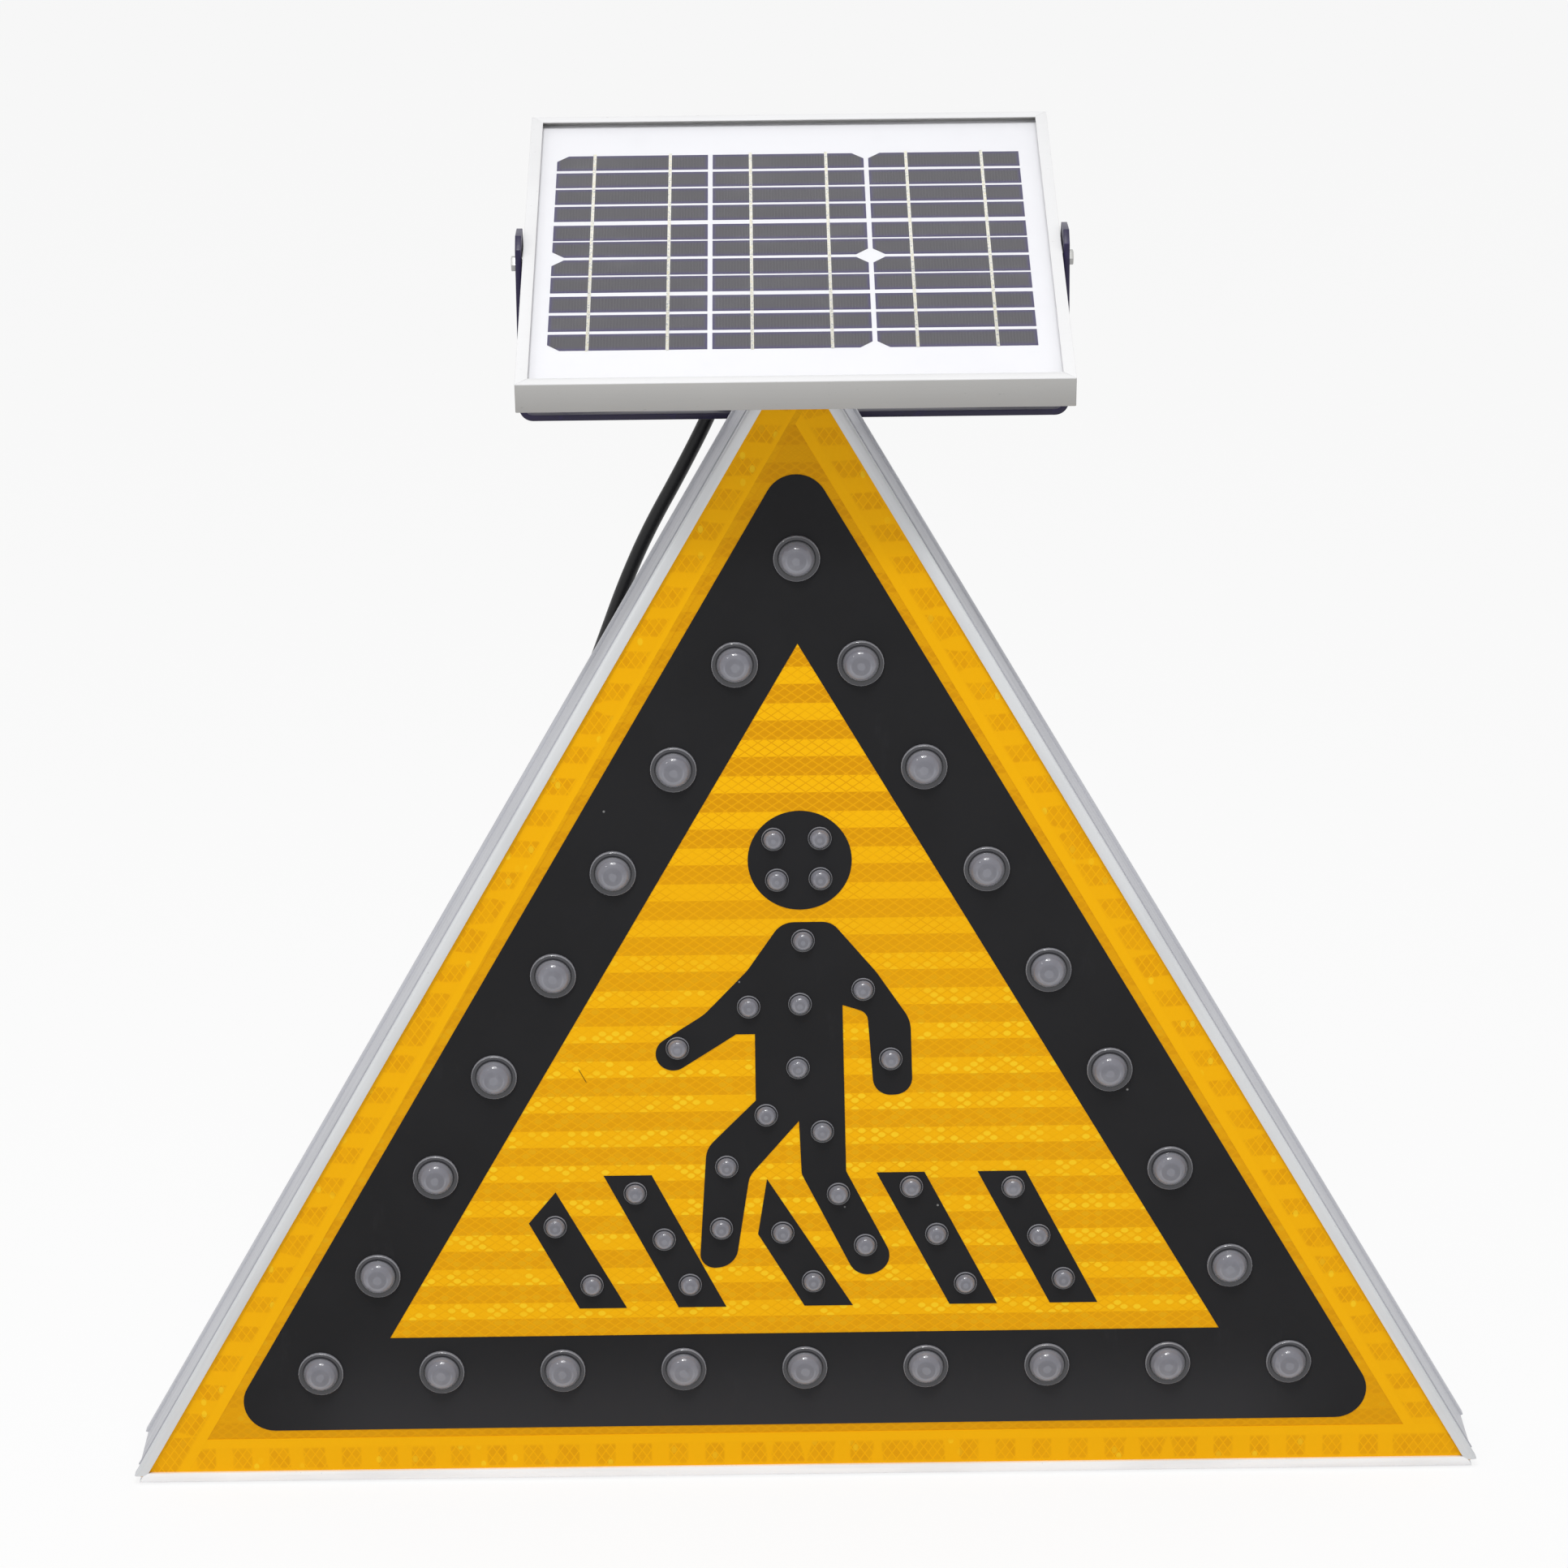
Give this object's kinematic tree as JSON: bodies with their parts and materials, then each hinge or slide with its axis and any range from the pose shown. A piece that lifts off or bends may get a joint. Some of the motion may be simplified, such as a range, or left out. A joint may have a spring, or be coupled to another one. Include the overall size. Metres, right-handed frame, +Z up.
{
  "type": "solar pedestrian crossing sign",
  "caption": "Triangular yellow and black pedestrian crossing sign with built-in lamps, an aluminium profile case and a small solar panel on a tilting U bracket.",
  "frame": {"origin": "centre of the four post holes, on the rear face of the two rails", "axes": "+X to the right seen from the front, +Y towards the back, +Z up"},
  "size_m": [0.6954, 0.2798, 0.6708],
  "materials": {
    "case_aluminium": "mill finish aluminium profile with weather dulling",
    "sheet_aluminium": "plain aluminium sheet",
    "key_casting": "cast, rough",
    "yellow_reflective": "reflective prismatic sheeting",
    "yellow_tape": "reflective honeycomb tape",
    "black_film": "black vinyl film",
    "lens_clear": "clear moulded lens, frosted dome",
    "lamp_housing": "moulded black",
    "lead_cover": "soft black insulation",
    "board_green": "solder mask",
    "board_black": "moulded",
    "brass_parts": "turned",
    "battery_wrap": "shrink wrap",
    "zinc_steel": "zinc plated",
    "rivet_aluminium": "bright",
    "black_steel": "black powder coat",
    "panel_aluminium": "anodised",
    "panel_glass": "clear tempered",
    "cell_silicon": "dark silicon behind glass",
    "tinned_ribbon": "tinned copper",
    "white_backsheet": "white laminate",
    "black_plastic": "moulded black"
  },
  "bodies": {
    "sign": {"battery_pack": "battery_wrap", "battery_strap": "zinc_steel", "board_parts": "board_black", "board_standoffs": "brass_parts", "border_film": "black_film", "bracket_bolt": "zinc_steel", "bracket_nut": "zinc_steel", "bracket_washers": "zinc_steel", "case_gland": "black_plastic", "case_gland_cap": "black_plastic", "case_gland_nut": "black_plastic", "controller_board": "board_green", "corner_keys": "key_casting", "cover_screws": "zinc_steel", "edge_tape_bottom": "yellow_tape", "edge_tape_left": "yellow_tape", "edge_tape_right": "yellow_tape", "frame_bottom": "case_aluminium", "frame_left": "case_aluminium", "frame_right": "case_aluminium", "front_plate": "yellow_reflective", "inner_leads": "lead_cover", "lamp_jumpers": "lead_cover", "large_lamp_bodies": "lamp_housing", "large_lamp_lenses": "lens_clear", "lower_rail": "sheet_aluminium", "panel_cable": "lead_cover", "pivot_washers": "zinc_steel", "rail_rivets": "rivet_aluminium", "rear_cover": "sheet_aluminium", "small_lamp_bodies": "lamp_housing", "small_lamp_lenses": "lens_clear", "stripe_film": "black_film", "support_angle": "black_steel", "support_screws": "zinc_steel", "u_bracket": "black_steel", "upper_rail": "sheet_aluminium", "walker_film": "black_film"},
    "panel": {"panel_frame_front": "panel_aluminium", "panel_frame_rear": "panel_aluminium", "panel_frame_left": "panel_aluminium", "panel_frame_right": "panel_aluminium", "panel_glass": "panel_glass", "solar_cells": "cell_silicon", "cell_ribbons": "tinned_ribbon", "backsheet": "white_backsheet", "junction_box": "black_plastic", "junction_lid": "black_plastic", "box_gland": "black_plastic", "pivot_bolts": "zinc_steel", "pivot_nuts": "zinc_steel"}
  },
  "joints": [
    {"name": "panel_tilt", "type": "hinge", "parent": "sign", "child": "panel", "pos_m": [0, 0.0028, 0.3526], "axis": [1, 0, 0], "range_deg": [-75, 0], "deforming": ["panel_cable"]}
  ]
}
